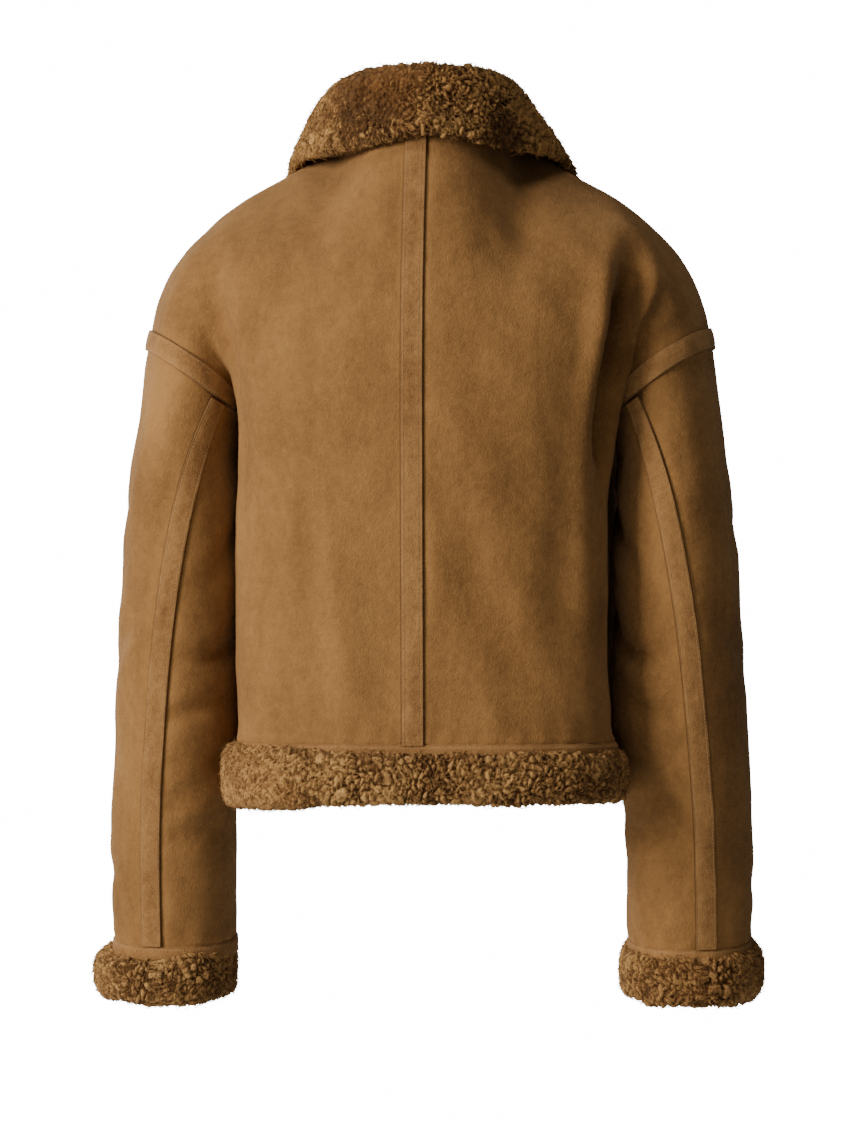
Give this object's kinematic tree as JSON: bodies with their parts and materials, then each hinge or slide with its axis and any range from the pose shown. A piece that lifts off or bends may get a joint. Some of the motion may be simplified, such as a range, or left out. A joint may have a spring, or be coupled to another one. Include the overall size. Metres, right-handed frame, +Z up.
{
  "type": "leather jacket",
  "caption": "Cropped boxy suede shearling jacket with a wide turned-down wool collar, dropped shoulders, strapped seams, wool hem and cuffs and a front zip, held open as worn.",
  "frame": {"origin": "middle of the neck opening at shoulder height, where the wearer's neck and shoulders hold the jacket up", "axes": "+Z up, +Y towards the back of the jacket, +X to the wearer's left; the front with its zip faces -Y"},
  "size_m": [0.624, 0.3174, 0.8631],
  "materials": {
    "suede": "matte tan suede, the clipped wool side inside",
    "suede_strap": "matte tan suede, a little paler and smoother, stitched along its edge",
    "wool": "curly brown shearling wool",
    "zip_tape": "dark brown woven tape",
    "zip_metal": "antique brass, satin"
  },
  "bodies": {
    "jacket": {"back_left": "suede", "back_right": "suede", "front_left": "suede", "front_right": "suede", "sleeve_outer_left": "suede", "sleeve_outer_right": "suede", "sleeve_inner_left": "suede", "sleeve_inner_right": "suede", "back_strap": "suede_strap", "sleeve_strap_left": "suede_strap", "sleeve_strap_right": "suede_strap", "armhole_band_left": "suede_strap", "armhole_band_right": "suede_strap", "hem_welt_back": "suede_strap", "hem_welt_front_left": "suede_strap", "hem_welt_front_right": "suede_strap", "cuff_welt_left": "suede_strap", "cuff_welt_right": "suede_strap", "hem_wool_back": "wool", "hem_wool_front_left": "wool", "hem_wool_front_right": "wool", "cuff_wool_left": "wool", "cuff_wool_right": "wool", "collar": "wool", "zip_tape_left": "zip_tape", "zip_tape_right": "zip_tape", "zip_slider": "zip_metal"},
    "zip_pull": {"zip_pull": "zip_metal"}
  },
  "joints": [
    {"name": "pull_tab_hinge", "type": "hinge", "parent": "jacket", "child": "zip_pull", "pos_m": [0, -0.10091, -0.07697], "axis": [-1, 0, 0], "range_deg": [0, 120]}
  ]
}
